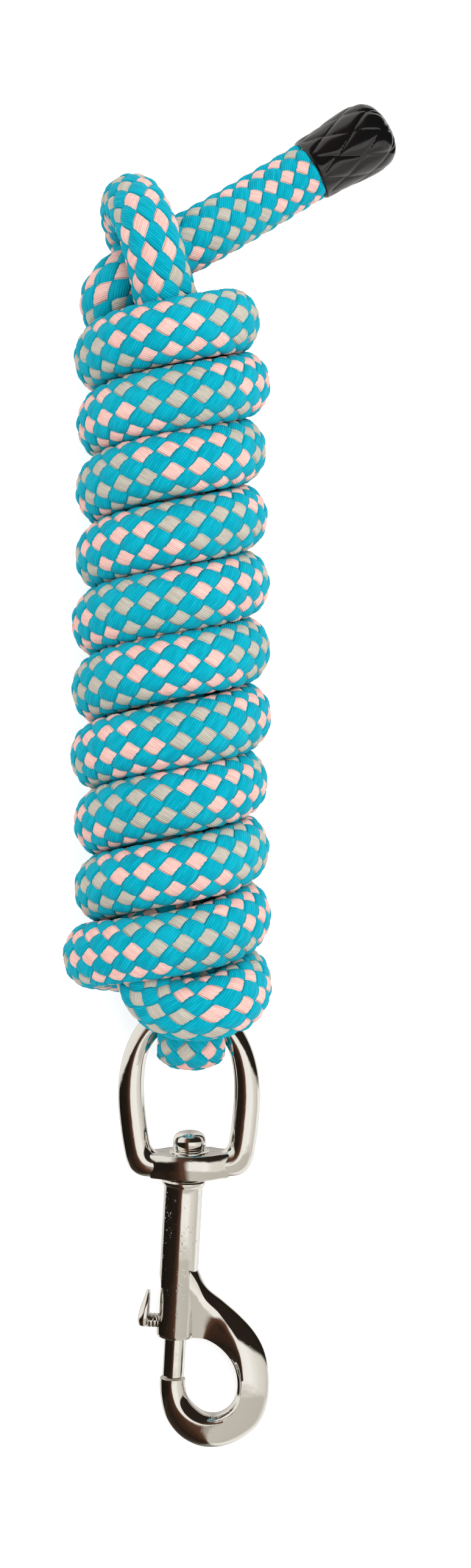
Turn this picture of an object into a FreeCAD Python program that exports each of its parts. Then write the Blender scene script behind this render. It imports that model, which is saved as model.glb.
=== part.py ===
# Braided lead rope, wound up for storage, with a swivel bolt snap at one end and a moulded cap at the other.
# Millimetres. The hank lies on z = 0 along Y: snap towards -Y, tail towards +Y, origin under the hank's middle.
import FreeCAD, Part
import math
import os
import re
import Sketcher
from FreeCAD import Placement, Rotation, Vector

# ---------------------------------------------------------------- driving dimensions

SIZES = [
    ("rope_diameter", 18.0, "braided rope, relaxed"),
    ("braid_wall", 4.0, "cover of the braid round its core yarns"),
    ("core_play", 0.1, "room between cover and core yarns"),
    ("turn_count", 11, "turns of the hank"),
    ("turn_pitch", 19.05, "from one turn to the next"),
    ("hank_radius", 28.6, "outside of the wound turns"),
    ("hank_height", 28.1, "height of the hank's axis over the floor"),
    ("turn_radius", 9.8, "rounding of a turn in section"),
    ("last_swell", 1.8, "how much the lowest turn stands out over the crimp"),
    ("next_swell", 0.7, "how much the turn above it stands out"),
    ("hank_bore", 10.7, "hollow of the hank that holds the two legs"),
    ("crimp_bore", 12.5, "hollow round the crimped ferrule"),
    ("crimp_bore_top", -73.0, "upper end of the wider hollow"),
    ("leg_radius", 10.6, "squashed legs inside the hank, as half rounds"),
    ("leg_gap", 0.1, "from the middle plane to each half round"),
    ("notch_end", -97.2, "the lowest turn passes in front of the swivel eye below this"),
    ("notch_height", 36.5, "underside of the lowest turn in front of the eye"),
    ("ferrule_low", -88.0, "lower end of the crimped ferrule"),
    ("ferrule_length", 12.0, "crimped ferrule"),
    ("ferrule_radius", 12.3, "crimped ferrule, outside"),
    ("ferrule_bore", 10.7, "crimped ferrule, inside"),
    ("short_end_length", 15.0, "rope's short end past the crimp"),
    ("loop_half_width", 9.5, "rope flattened round the eye's bar, across"),
    ("loop_half_thick", 5.1, "rope flattened round the eye's bar, in thickness"),
    ("loop_radius", 9.4, "middle of the rope round the eye's bar"),
    ("eye_x", 5.9, "middle of the eye's bar, across the hank"),
    ("eye_y", -102.1, "middle of the eye's bar, along the hank"),
    ("eye_z", 21.0, "middle of the eye's bar over the floor"),
    ("snap_yaw", 3.15, "snap's axis turned from the hank's, degrees"),
    ("hook_rest", 125.3, "from the eye's bar to the hook's lowest point"),
    ("eye_bar", 6.3, "bar of the swivel eye, across"),
    ("eye_thick", 7.6, "swivel eye, front to back"),
    ("eye_round", 2.5, "rounded edges of the swivel eye"),
    ("arch_radius", 16.0, "arch of the eye, to the middle of the bar"),
    ("arch_corner", 12.7, "half of the arch's flat top before it is rounded"),
    ("eye_half_width", 20.45, "widest half of the swivel eye"),
    ("eye_foot_half", 17.4, "half width of the eye at its lower corners"),
    ("window_corner", 8.8, "the same half for the eye's window"),
    ("window_half", 12.95, "widest half of the eye's window"),
    ("window_foot_half", 10.95, "half width of the window at its lower corners"),
    ("window_round", 1.8, "lower corners of the window"),
    ("eye_floor", 39.2, "inner face of the eye's lower bar"),
    ("eye_end", 47.1, "outer face of the eye's lower bar"),
    ("boss_radius", 6.4, "boss of the lower bar round the rivet"),
    ("dish_radius", 5.9, "dish under the rivet's head"),
    ("dish_depth", 1.2, "dish under the rivet's head"),
    ("rivet_radius", 3.0, "shank of the swivel rivet"),
    ("rivet_play", 0.05, "running clearance of the rivet in the eye"),
    ("rivet_head", 5.0, "domed head of the swivel rivet"),
    ("rivet_top", 32.7, "top of the dome"),
    ("rivet_crown", 0.8, "small flat on top of the dome, as a radius"),
    ("rivet_rim", 37.2, "where the dome meets the head's straight side"),
    ("rivet_end", 55.0, "end of the rivet's shank in the barrel"),
    ("face_play", 0.2, "end play between the swivel's faces"),
    ("collar_radius", 6.25, "collar of the barrel"),
    ("collar_end", 49.3, "end of the collar"),
    ("barrel_radius", 5.55, "barrel of the snap"),
    ("barrel_end", 94.7, "mouth of the barrel"),
    ("bolt_radius", 3.15, "bolt"),
    ("bolt_play", 0.07, "running clearance of the bolt"),
    ("bolt_start", 74.0, "inner end of the bolt"),
    ("bolt_end", 106.85, "outer end of the bolt, on the hook's tip"),
    ("bolt_chamfer", 0.5, "broken edge at the bolt's end"),
    ("bolt_travel", 11.0, "how far the thumb knob pulls the bolt back"),
    ("hook_thick", 8.6, "hook, front to back"),
    ("hook_round", 2.7, "rounded edges of the hook"),
    ("hook_tip_top", 107.1, "top of the hook's tip"),
    ("tip_half", 3.6, "half width of the hook's tip"),
    ("hook_reach", 28.0, "hook's outer side from the barrel's axis"),
    ("hook_end", 127.5, "hook's lowest outer point"),
    ("hook_inner", 18.9, "hook's inner side from the axis"),
    ("hook_floor", 117.5, "inner end of the hook's opening"),
    ("web_start", 68.0, "where the web begins inside the barrel"),
    ("knob_at", 90.2, "thumb knob's stem along the snap"),
    ("stem_radius", 2.15, "ribbed stem of the thumb knob"),
    ("stem_rib", 0.25, "depth of the grooves between the ribs"),
    ("thread_radius", 1.5, "screwed end of the stem in the bolt"),
    ("thread_play", 0.05, "room round the screwed end"),
    ("thread_end", 1.2, "screwed end, from the bolt's axis"),
    ("stem_shoulder", 3.3, "start of the ribbed stem, from the axis"),
    ("stem_ribs", 4, "grooves round the stem"),
    ("blade_inner", 6.8, "near face of the knob's blade, from the axis"),
    ("blade_outer", 10.1, "far face of the knob's blade, from the axis"),
    ("blade_top", 82.2, "upper end of the blade"),
    ("blade_low", 92.4, "lower end of the blade"),
    ("blade_width", 8.6, "blade, front to back"),
    ("blade_round", 0.8, "rounded edges of the blade"),
    ("slot_half", 2.45, "half width of the slot in the barrel"),
    ("slot_play", 0.35, "room between stem and slot at each end"),
    ("spring_radius", 2.45, "middle of the spring's wire"),
    ("spring_wire", 0.8, "wire of the spring"),
    ("spring_pitch", 2.15, "one turn of the spring"),
    ("spring_length", 17.6, "middle of the spring's first turn to middle of its last"),
    ("cap_x", 39.6, "middle of the cap's mouth, across"),
    ("cap_y", 143.5, "middle of the cap's mouth, along"),
    ("cap_z", 13.05, "middle of the cap's mouth over the floor"),
    ("cap_yaw", 58.8, "cap's axis from +Y towards +X, degrees"),
    ("cap_droop", 7.5, "cap's axis below level, degrees"),
    ("cap_mouth", 9.3, "cap's outside at the mouth"),
    ("cap_belly", 10.6, "cap's outside where it is widest"),
    ("cap_belly_at", 18.5, "where the cap is widest"),
    ("cap_length", 27.0, "end cap"),
    ("cap_nose", 5.0, "flat of the cap's rounded end, as a radius"),
    ("cap_bore", 8.0, "inside of the cap"),
    ("cap_depth", 20.5, "depth of the cap's inside"),
    ("cap_lip", 0.5, "bevel inside the cap's mouth"),
    ("whipping_wall", 0.7, "tape and thread round the tail's end"),
    ("whipping_length", 16.0, "tape and thread round the tail's end"),
    ("stub_length", 19.5, "squashed end of the tail in the cap"),
]

doc = FreeCAD.newDocument("lead_rope")
dims = doc.addObject("Spreadsheet::Sheet", "dims")
for row, (alias, value, meaning) in enumerate(SIZES, start=1):
    dims.set("A%d" % row, alias)
    dims.set("B%d" % row, str(value))
    dims.set("C%d" % row, meaning)
    dims.setAlias("B%d" % row, alias)
doc.recompute()


def dim(formula):
    """Value of a formula made of the sheet's names."""
    return float(dims.evalExpression(formula))


def bound(formula):
    """The same formula as other objects write it, with the sheet's label before each name."""
    return re.sub(r"\b([a-z]\w*)\b(?!\()", r"dims.\1", formula)


# ---------------------------------------------------------------- helpers


def newBody(label):
    body = doc.addObject("PartDesign::Body", label)
    body.Label = label
    return body


def newSketch(body, role, name):
    plane = next(f for f in body.Origin.OriginFeatures if f.Role == role)
    sketch = body.newObject("Sketcher::SketchObject", name)
    sketch.AttachmentSupport = (plane, [""])
    sketch.MapMode = "FlatFace"
    return sketch


def pin(sketch, geometry, point, formulas):
    """Tie a point of the sketch to the sheet, across and along."""
    for kind, axis, formula in zip(("DistanceX", "DistanceY"), (-2, -1), formulas):
        value = dim(formula)
        if abs(value) < 1e-9:
            sketch.addConstraint(Sketcher.Constraint("PointOnObject", geometry, point, axis))
            continue
        index = sketch.addConstraint(Sketcher.Constraint(kind, -1, 1, geometry, point, value))
        sketch.setExpression("Constraints[%d]" % index, bound(formula))


def arcThrough(start, end, radius):
    """Arc from start to end. A positive radius turns left on the way, a negative one turns right."""
    chord = end - start
    reach = math.sqrt(radius * radius - chord.Length * chord.Length / 4)
    left = Vector(-chord.y, chord.x, 0).normalize()
    centre = (start + end) * 0.5 + left * math.copysign(reach, radius)
    first, last = (start, end) if radius > 0 else (end, start)
    angles = [math.atan2(p.y - centre.y, p.x - centre.x) for p in (first, last)]
    return Part.ArcOfCircle(Part.Circle(centre, Vector(0, 0, 1), abs(radius)), *angles)


def outline(sketch, corners):
    """Closed outline. Each corner is (across, along) or (across, along, radius of the arc to the next)."""
    places = [Vector(dim(c[0]), dim(c[1]), 0) for c in corners]
    ends = []
    for index, corner in enumerate(corners):
        start, end = places[index], places[(index + 1) % len(corners)]
        if len(corner) == 3:
            radius = dim(corner[2])
            geometry = sketch.addGeometry(arcThrough(start, end, radius), False)
            if (end - start).Length < 1.999 * abs(radius):
                size = sketch.addConstraint(Sketcher.Constraint("Radius", geometry, abs(radius)))
                sketch.setExpression("Constraints[%d]" % size, bound("abs(%s)" % corner[2]))
            ends.append((geometry, 1, 2) if radius > 0 else (geometry, 2, 1))
        else:
            geometry = sketch.addGeometry(Part.LineSegment(start, end), False)
            ends.append((geometry, 1, 2))
    for index, (geometry, first, last) in enumerate(ends):
        following = ends[(index + 1) % len(ends)]
        sketch.addConstraint(Sketcher.Constraint("Coincident", geometry, last, following[0], following[1]))
        pin(sketch, geometry, first, corners[index][:2])


def roundedOutline(sketch, corners):
    """Closed outline of straight sides. Each corner is (across, along) or (across, along, its rounding)."""
    places = [Vector(dim(c[0]), dim(c[1]), 0) for c in corners]
    count = len(corners)
    enters, leaves, arcs = [], [], []
    for index, corner in enumerate(corners):
        place = places[index]
        towards = (place - places[index - 1]).normalize()
        onwards = (places[(index + 1) % count] - place).normalize()
        turn = towards.getAngle(onwards)
        radius = dim(corner[2]) if len(corner) == 3 else 0
        enters.append(place - towards * radius * math.tan(turn / 2))
        leaves.append(place + onwards * radius * math.tan(turn / 2))
        side = towards.cross(onwards).z
        arcs.append(arcThrough(enters[-1], leaves[-1], math.copysign(radius, side)) if radius else None)
    lines = [sketch.addGeometry(Part.LineSegment(leaves[i], enters[(i + 1) % count]), False) for i in range(count)]
    for index, arc in enumerate(arcs):
        before, after = lines[index - 1], lines[index]
        if arc is None:
            sketch.addConstraint(Sketcher.Constraint("Coincident", before, 2, after, 1))
            pin(sketch, after, 1, corners[index][:2])
            continue
        geometry = sketch.addGeometry(arc, False)
        startsFirst = arc.StartPoint.distanceToPoint(enters[index]) < 1e-6
        first, last = (1, 2) if startsFirst else (2, 1)
        sketch.addConstraint(Sketcher.Constraint("Tangent", before, 2, geometry, first))
        sketch.addConstraint(Sketcher.Constraint("Tangent", geometry, last, after, 1))
        size = sketch.addConstraint(Sketcher.Constraint("Radius", geometry, arc.Radius))
        sketch.setExpression("Constraints[%d]" % size, bound(corners[index][2]))
        vertex = sketch.addGeometry(Part.Point(places[index]), True)
        sketch.addConstraint(Sketcher.Constraint("PointOnObject", vertex, 1, before))
        sketch.addConstraint(Sketcher.Constraint("PointOnObject", vertex, 1, after))
        pin(sketch, vertex, 1, corners[index][:2])


def circle(sketch, across, along, radius):
    geometry = sketch.addGeometry(Part.Circle(Vector(dim(across), dim(along), 0), Vector(0, 0, 1), dim(radius)))
    pin(sketch, geometry, 3, (across, along))
    index = sketch.addConstraint(Sketcher.Constraint("Radius", geometry, dim(radius)))
    sketch.setExpression("Constraints[%d]" % index, bound(radius))


def pad(body, sketch, length):
    """Pad both ways from the sketch's plane."""
    feature = body.newObject("PartDesign::Pad", sketch.Name + "_pad")
    feature.Profile = sketch
    feature.setExpression("Length", bound(length))
    feature.Midplane = True
    return feature


def spin(body, sketch, kind="PartDesign::Revolution"):
    """Full turn about the sketch's upright axis."""
    feature = body.newObject(kind, sketch.Name + "_turned")
    feature.Profile = sketch
    feature.ReferenceAxis = (sketch, ["V_Axis"])
    feature.Angle = 360
    return feature


def roundEdges(body, feature, radius, chosen):
    """Fillet the edges of a feature that a test picks."""
    doc.recompute()
    names = ["Edge%d" % n for n, edge in enumerate(feature.Shape.Edges, start=1) if chosen(edge)]
    fillet = body.newObject("PartDesign::Fillet", feature.Name + "_rounded")
    fillet.Base = (feature, names)
    fillet.setExpression("Radius", bound(radius))
    return fillet


def onFaces(edge):
    """True for the edges that lie on the two flat faces of a midplane pad."""
    return edge.BoundBox.ZLength < 1e-3


def cutBox(label, base, low, high):
    """Base less the box between two corners."""
    box = doc.addObject("Part::Box", label + "_room")
    for side, first, last in zip(("Length", "Width", "Height"), low, high):
        box.setExpression(side, bound("(%s) - (%s)" % (last, first)))
    box.Placement = Placement(Vector(*[dim(f) for f in low]), Rotation())
    cut = doc.addObject("Part::Cut", label)
    cut.Base = base
    cut.Tool = box
    return cut


def ropePath(points):
    """Straight runs joined by tangent arcs, each as large as its two runs allow."""
    places = [Vector(*p) for p in points]
    edges = []
    radii = []
    start = places[0]
    for before, corner, after in zip(places, places[1:], places[2:]):
        towards, onwards = corner - before, after - corner
        half = towards.getAngle(onwards) / 2
        cutBack = 0.45 * min(towards.Length, onwards.Length)
        radius = cutBack / math.tan(half)
        towards.normalize()
        onwards.normalize()
        enter, leave = corner - towards * cutBack, corner + onwards * cutBack
        inward = (onwards - towards).normalize()
        middle = corner + inward * (radius / math.cos(half) - radius)
        edges.append(Part.LineSegment(start, enter).toShape())
        edges.append(Part.Arc(enter, middle, leave).toShape())
        radii.append(radius)
        start = leave
    edges.append(Part.LineSegment(start, places[-1]).toShape())
    return Part.Wire(edges), radii


def sweepRound(path, radius):
    """Solid round tube of one radius along a path."""
    heading = path.Edges[0].tangentAt(path.Edges[0].FirstParameter)
    ring = Part.Wire([Part.Circle(path.Edges[0].Vertexes[0].Point, heading, radius).toShape()])
    tube = path.makePipeShell([ring], True, False)
    return tube


def plain(label, shape):
    """Document object for a shape made with Part's own functions."""
    feature = doc.addObject("Part::Feature", label)
    feature.Label = label
    feature.Shape = shape
    return feature


# ---------------------------------------------------------------- the hank

hankAxis = Placement(Vector(0, 0, dim("hank_height")), Rotation())

# Wound turns: half round ridges side by side about a round hollow, wider at the end over the crimp.
woundTurns = newBody("wound_turns")
woundTurns.Placement = hankAxis
turnSection = newSketch(woundTurns, "XY_Plane", "turn_section")
hankHalf = "turn_count * turn_pitch / 2"
valley = "hank_radius - turn_radius + sqrt(turn_radius ^ 2 - turn_pitch ^ 2 / 4)"
swells = {0: "last_swell", 1: "next_swell"}
ridges = []
for turn in range(int(dim("turn_count"))):
    swell = swells.get(turn, "0")
    ridges.append((valley + " + " + swell, "%d * turn_pitch - %s" % (turn, hankHalf), "turn_radius"))
    if swells.get(turn + 1, "0") != swell:
        ridges.append((valley + " + " + swell, "%d * turn_pitch - %s" % (turn + 1, hankHalf)))
hollow = [
    (valley, hankHalf),
    ("hank_bore", hankHalf),
    ("hank_bore", "crimp_bore_top"),
    ("crimp_bore", "crimp_bore_top"),
    ("crimp_bore", "-" + hankHalf),
]
outline(turnSection, ridges + hollow)
spin(woundTurns, turnSection)

# The hank lies on a flattened underside, and its lowest turn passes in front of the swivel eye.
wide = "2 * hank_radius"
tall = "turn_count * turn_pitch"
flattened = cutBox("flattened_turns", woundTurns, ("-" + wide, "-" + tall, "-hank_radius"), (wide, tall, "0"))
ropeTurns = cutBox("rope_turns", flattened, ("-" + wide, "-" + tall, "-1"), (wide, "notch_end", "notch_height"))


def halfRound(label, low, high, side):
    """A leg of the rope squashed to a half round inside the hank. side is 1 in front, -1 behind."""
    body = newBody(label)
    section = newSketch(body, "XZ_Plane", label + "_section")
    width = "sqrt(leg_radius ^ 2 - leg_gap ^ 2)"
    first, last, level = (width, "-" + width, "leg_gap") if side > 0 else ("-" + width, width, "-leg_gap")
    outline(section, [(first, level, "leg_radius"), (last, level)])
    pad(body, section, "(%s) - (%s)" % (high, low))
    body.Placement = Placement(Vector(0, dim("((%s) + (%s)) / 2" % (high, low)), dim("hank_height")), Rotation())
    return body


shortTop = "ferrule_low + short_end_length"
standingLeg = halfRound("core_standing_leg", "ferrule_low", hankHalf, -1)
shortEnd = halfRound("eye_short_end", "ferrule_low", shortTop, 1)
returnLeg = halfRound("core_return_leg", shortTop + " + leg_gap", hankHalf, 1)


def sleeve(label, outer, inner, length, frame, start):
    """Round sleeve along the Y axis of a frame, from a start. An inner radius of 0 makes it solid."""
    body = newBody(label)
    section = newSketch(body, "XZ_Plane", label + "_section")
    circle(section, "0", "0", outer)
    if dim(inner) > 0:
        circle(section, "0", "0", inner)
    pad(body, section, length)
    body.Placement = frame * Placement(Vector(0, dim("(%s) + (%s) / 2" % (start, length)), 0), Rotation())
    return body


ferrule = sleeve("crimp_ferrule", "ferrule_radius", "ferrule_bore", "ferrule_length", hankAxis, "ferrule_low")

# ---------------------------------------------------------------- free rope: bight, tail and eye

# Top bight: out of the hollow behind, up, over the tail, and back down in front of the top turn.
BIGHT = [
    (0.0, 98.0, 22.8), (-3.0, 107.0, 12.8), (-9.5, 120.0, 10.8), (-12.8, 131.2, 21.5), (-10.4, 131.2, 37.0),
    (-6.0, 121.5, 48.0), (-2.2, 106.5, 46.6), (0.0, 96.0, 34.0),
]

# Tail: off the left of the top turn, through the bight and down to the cap.
TAIL = [
    (-15.5, 92.5, 15.0), (-18.8, 99.0, 23.0), (-15.8, 107.5, 28.0), (-8.0, 114.0, 29.0), (4.8, 121.0, 27.3),
    (20.5, 130.9, 18.5), (dim("cap_x"), dim("cap_y"), dim("cap_z")),
]

ropeRadius = dim("rope_diameter / 2")
coverBore = dim("rope_diameter / 2 - braid_wall")
coreRadius = dim("rope_diameter / 2 - braid_wall - core_play")
cores = []
freeRopes = []
for label, points in (("top_bight", BIGHT), ("rope_tail", TAIL)):
    path, radii = ropePath(points)
    tube = sweepRound(path, ropeRadius)
    section = math.pi * ropeRadius ** 2 * path.Length
    print(label, "length %.1f, radii" % path.Length, ["%.1f" % r for r in radii],
          "volume over section times length %.4f" % (tube.Volume / section))
    freeRopes.append(plain(label, tube.cut(sweepRound(path, coverBore))))
    cores.append(sweepRound(path, coreRadius))
coreYarns = plain("core_yarns", Part.makeCompound(cores))

# Rope eye: flattened, once round the eye's bar, both legs drawn together up into the crimp.
eyeFrame = Placement(Vector(dim("eye_x"), dim("eye_y"), dim("eye_z")), Rotation(Vector(0, 0, 1), -dim("snap_yaw")))
loopRadius = dim("loop_radius")
legEnds = [Vector(0, dim("ferrule_low - eye_y"), dim("hank_height - eye_z") + side * dim("leg_radius / 2"))
           for side in (1, -1)]
touches = []
for side, end in zip((1, -1), legEnds):
    bearing = math.atan2(end.z, end.y) + side * math.acos(loopRadius / math.hypot(end.y, end.z))
    touches.append((bearing, Vector(0, loopRadius * math.cos(bearing), loopRadius * math.sin(bearing))))
middleBearing = (touches[0][0] + touches[1][0]) / 2 + math.pi
lowest = Vector(0, loopRadius * math.cos(middleBearing), loopRadius * math.sin(middleBearing))
loopPath = Part.Wire([
    Part.LineSegment(legEnds[0], touches[0][1]).toShape(),
    Part.Arc(touches[0][1], lowest, touches[1][1]).toShape(),
    Part.LineSegment(touches[1][1], legEnds[1]).toShape(),
])
run = touches[0][1] - legEnds[0]
thickness = Vector(0, -run.z, run.y).normalize() * dim("loop_half_thick")
flatSection = Part.Ellipse(legEnds[0] + Vector(dim("loop_half_width"), 0, 0), legEnds[0] + thickness, legEnds[0])
eyeLoop = plain("eye_loop", loopPath.makePipeShell([Part.Wire([flatSection.toShape()])], True, False))
eyeLoop.Placement = eyeFrame
print("eye_loop length %.1f" % loopPath.Length)

# ---------------------------------------------------------------- end cap, on the tail

capFrame = Placement(Vector(dim("cap_x"), dim("cap_y"), dim("cap_z")),
                     Rotation(Vector(0, 0, 1), -dim("cap_yaw")) * Rotation(Vector(1, 0, 0), -dim("cap_droop")))
endCap = newBody("end_cap")
endCap.Placement = capFrame
capSection = newSketch(endCap, "XY_Plane", "cap_section")
outline(capSection, [
    ("cap_bore + cap_lip", "0"),
    ("cap_mouth", "0", "cap_length * 2"),
    ("cap_belly", "cap_belly_at", "cap_length / 3"),
    ("cap_nose", "cap_length"),
    ("0", "cap_length"),
    ("0", "cap_depth"),
    ("cap_bore", "cap_depth"),
    ("cap_bore", "cap_lip"),
])
spin(endCap, capSection)
whipping = sleeve("cap_whipping", "cap_bore - core_play", "cap_bore - whipping_wall", "whipping_length", capFrame,
                  "cap_lip + 1")
tailStub = sleeve("tail_stub", "cap_bore - whipping_wall - core_play", "0", "stub_length", capFrame, "0")

# ---------------------------------------------------------------- bolt snap, with its axis along Y

# The snap's frame: origin in the middle of the eye's bar, -Y down to the hook, which rests on the floor.
droop = math.degrees(math.asin(dim("(eye_z - hook_thick / 2) / hook_rest")))
snapFrame = Placement(Vector(dim("eye_x"), dim("eye_y"), dim("eye_z")),
                      Rotation(Vector(0, 0, 1), -dim("snap_yaw")) * Rotation(Vector(1, 0, 0), droop))
print("snap droops by %.2f degrees" % droop)


def snapBody(label):
    body = newBody(label)
    body.Placement = snapFrame
    return body


def mirrored(side):
    """Whole outline from the corners of its right side, top to bottom."""
    return side + [("-(%s)" % corner[0],) + tuple(corner[1:]) for corner in reversed(side)]


# Swivel eye: a D with an arched top, round edges, and a boss with a dish for the rivet's head.
swivelEye = snapBody("swivel_eye")
rim = newSketch(swivelEye, "XY_Plane", "eye_rim")
roundedOutline(rim, mirrored([
    ("arch_corner", "eye_bar / 2", "arch_radius + eye_bar / 2 - 0.6"),
    ("eye_half_width", "-15.9", "36"),
    ("eye_half_width", "-30", "60"),
    ("eye_foot_half", "1.5 - eye_end", "6.5"),
    ("boss_radius", "-eye_end", "12"),
]))
roundedOutline(rim, mirrored([
    ("window_corner", "-eye_bar / 2", "arch_radius - eye_bar / 2 - 0.1"),
    ("window_half", "-14", "14"),
    ("window_half", "-21.5", "60"),
    ("window_foot_half", "-eye_floor", "window_round"),
]))
rimPad = pad(swivelEye, rim, "eye_thick")
roundEdges(swivelEye, rimPad, "eye_round", onFaces)
boss = newSketch(swivelEye, "XY_Plane", "eye_boss")
outline(boss, [("0", "-eye_floor"), ("boss_radius", "-eye_floor"), ("boss_radius", "-eye_end"), ("0", "-eye_end")])
spin(swivelEye, boss)
eyeHole = newSketch(swivelEye, "XY_Plane", "eye_hole")
outline(eyeHole, [
    ("0", "1 - eye_floor"),
    ("dish_radius", "1 - eye_floor"),
    ("dish_radius", "-eye_floor"),
    ("rivet_head + face_play", "-(eye_floor + dish_depth)"),
    ("rivet_radius + rivet_play", "-(eye_floor + dish_depth)"),
    ("rivet_radius + rivet_play", "-(eye_end + 1)"),
    ("0", "-(eye_end + 1)"),
])
spin(swivelEye, eyeHole, "PartDesign::Groove")

swivelRivet = snapBody("swivel_rivet")
rivetSection = newSketch(swivelRivet, "XY_Plane", "rivet_section")
headFace = "face_play - eye_floor - dish_depth"
outline(rivetSection, [
    ("0", "-rivet_top"),
    ("rivet_crown", "-rivet_top", "-rivet_head"),
    ("rivet_head", "-rivet_rim"),
    ("rivet_head", headFace),
    ("rivet_radius", headFace),
    ("rivet_radius", "-rivet_end"),
    ("0", "-rivet_end"),
])
spin(swivelRivet, rivetSection)

# Snap body: hook and web in one plate with round edges, then the barrel, its bore and its slot.
snapCasting = snapBody("snap_body")
hookRim = newSketch(snapCasting, "XY_Plane", "hook_rim")
roundedOutline(hookRim, [
    ("0", "-web_start"),
    ("barrel_radius - 0.2", "-web_start"),
    ("barrel_radius - 0.2", "-77.1", "10"),
    ("hook_reach", "-95.3", "22"),
    ("hook_reach", "-113.7", "24"),
    ("19.6", "-hook_end", "15"),
    ("3.3", "-hook_end", "12.6"),
    ("-3.8", "-115.6", "20"),
    ("-3.8", "-hook_tip_top"),
    ("tip_half", "-hook_tip_top"),
    ("tip_half", "-hook_floor", "8.3"),
    ("hook_inner", "-hook_floor", "6.8"),
    ("hook_inner", "-barrel_end", "11.9"),
    ("0", "-barrel_end"),
])
hookPad = pad(snapCasting, hookRim, "hook_thick")


def outsideBarrel(edge):
    """Edges on the plate's faces, without those the barrel swallows."""
    box = edge.BoundBox
    inside = box.YMin > -dim("barrel_end") - 0.1 and box.XMax < 0.1
    return onFaces(edge) and not inside and box.YMin < -dim("web_start") - 0.1


roundEdges(snapCasting, hookPad, "hook_round", outsideBarrel)
barrel = newSketch(snapCasting, "XY_Plane", "barrel")
outline(barrel, [
    ("0", "-(eye_end + face_play)"),
    ("collar_radius", "-(eye_end + face_play)"),
    ("collar_radius", "-collar_end"),
    ("barrel_radius", "-collar_end"),
    ("barrel_radius", "-barrel_end"),
    ("0", "-barrel_end"),
])
spin(snapCasting, barrel)
bore = newSketch(snapCasting, "XY_Plane", "barrel_bore")
outline(bore, [
    ("0", "-eye_end"),
    ("rivet_radius", "-eye_end"),
    ("rivet_radius", "-rivet_end"),
    ("bolt_radius + bolt_play", "-rivet_end"),
    ("bolt_radius + bolt_play", "-(barrel_end + 1)"),
    ("0", "-(barrel_end + 1)"),
])
spin(snapCasting, bore, "PartDesign::Groove")
slot = newSketch(snapCasting, "YZ_Plane", "knob_slot")
slotLow = "-(knob_at + slot_play - slot_half + stem_radius)"
slotHigh = "-(knob_at - bolt_travel - slot_play + slot_half - stem_radius)"
outline(slot, [
    (slotLow, "slot_half", "slot_half"),
    (slotLow, "-slot_half"),
    (slotHigh, "-slot_half", "slot_half"),
    (slotHigh, "slot_half"),
])


def cutLeft(body, sketch, length):
    """Pocket from the YZ plane towards -X."""
    feature = body.newObject("PartDesign::Pocket", sketch.Name + "_cut")
    feature.Profile = sketch
    feature.setExpression("Length", bound(length))
    return feature


cutLeft(snapCasting, slot, "2 * barrel_radius")

bolt = snapBody("bolt")
boltSection = newSketch(bolt, "XY_Plane", "bolt_section")
outline(boltSection, [
    ("0", "-bolt_start"),
    ("bolt_radius", "-bolt_start"),
    ("bolt_radius", "bolt_chamfer - bolt_end"),
    ("bolt_radius - bolt_chamfer", "-bolt_end"),
    ("0", "-bolt_end"),
])
spin(bolt, boltSection)
threadHole = newSketch(bolt, "YZ_Plane", "thread_hole")
circle(threadHole, "-knob_at", "0", "thread_radius + thread_play")
cutLeft(bolt, threadHole, "2 * bolt_radius")

# Thumb knob: ribbed stem outwards through the slot, and an upright blade on its end.
thumbKnob = newBody("thumb_knob")
thumbKnob.Placement = snapFrame * Placement(Vector(0, -dim("knob_at"), 0), Rotation(Vector(0, 0, 1), 90))
stemSection = newSketch(thumbKnob, "XY_Plane", "stem_section")
ribs = int(dim("stem_ribs"))
ribStep = "(blade_inner - stem_shoulder) / %d" % ribs
stem = [("0", "thread_end"), ("thread_radius", "thread_end"), ("thread_radius", "stem_shoulder")]
for rib in range(ribs):
    stem.append(("stem_radius", "stem_shoulder + %d * %s" % (rib, ribStep)))
    stem.append(("stem_radius", "stem_shoulder + (%d + 0.6) * %s" % (rib, ribStep)))
    stem.append(("stem_radius - stem_rib", "stem_shoulder + (%d + 0.8) * %s" % (rib, ribStep)))
stem += [("stem_radius", "blade_inner"), ("stem_radius", "blade_inner + 1"), ("0", "blade_inner + 1")]
outline(stemSection, stem)
spin(thumbKnob, stemSection)
blade = newSketch(thumbKnob, "XY_Plane", "knob_blade")
roundedOutline(blade, [
    ("knob_at - blade_low", "blade_inner"),
    ("knob_at - blade_top", "blade_inner", "0.8"),
    ("knob_at - blade_top", "blade_outer - 1.2", "1.1"),
    ("knob_at - blade_low", "blade_outer + 0.2", "1.7"),
])
bladePad = pad(thumbKnob, blade, "blade_width")
roundEdges(thumbKnob, bladePad, "blade_round", onFaces)

boltSpring = snapBody("bolt_spring")
wire = newSketch(boltSpring, "XY_Plane", "spring_wire_section")
circle(wire, "spring_radius", "-(bolt_start - spring_wire)", "spring_wire / 2")
coil = boltSpring.newObject("PartDesign::AdditiveHelix", "spring_coil")
coil.Profile = wire
coil.ReferenceAxis = (wire, ["V_Axis"])
coil.Mode = "pitch-height-angle"
coil.setExpression("Pitch", bound("spring_pitch"))
coil.setExpression("Height", bound("spring_length"))

# ---------------------------------------------------------------- check and write

doc.recompute()
failed = [obj.Name for obj in doc.Objects if {"Invalid", "Error"} & set(obj.State)]
if failed:
    raise SystemExit("failed objects: " + ", ".join(failed))

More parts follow.
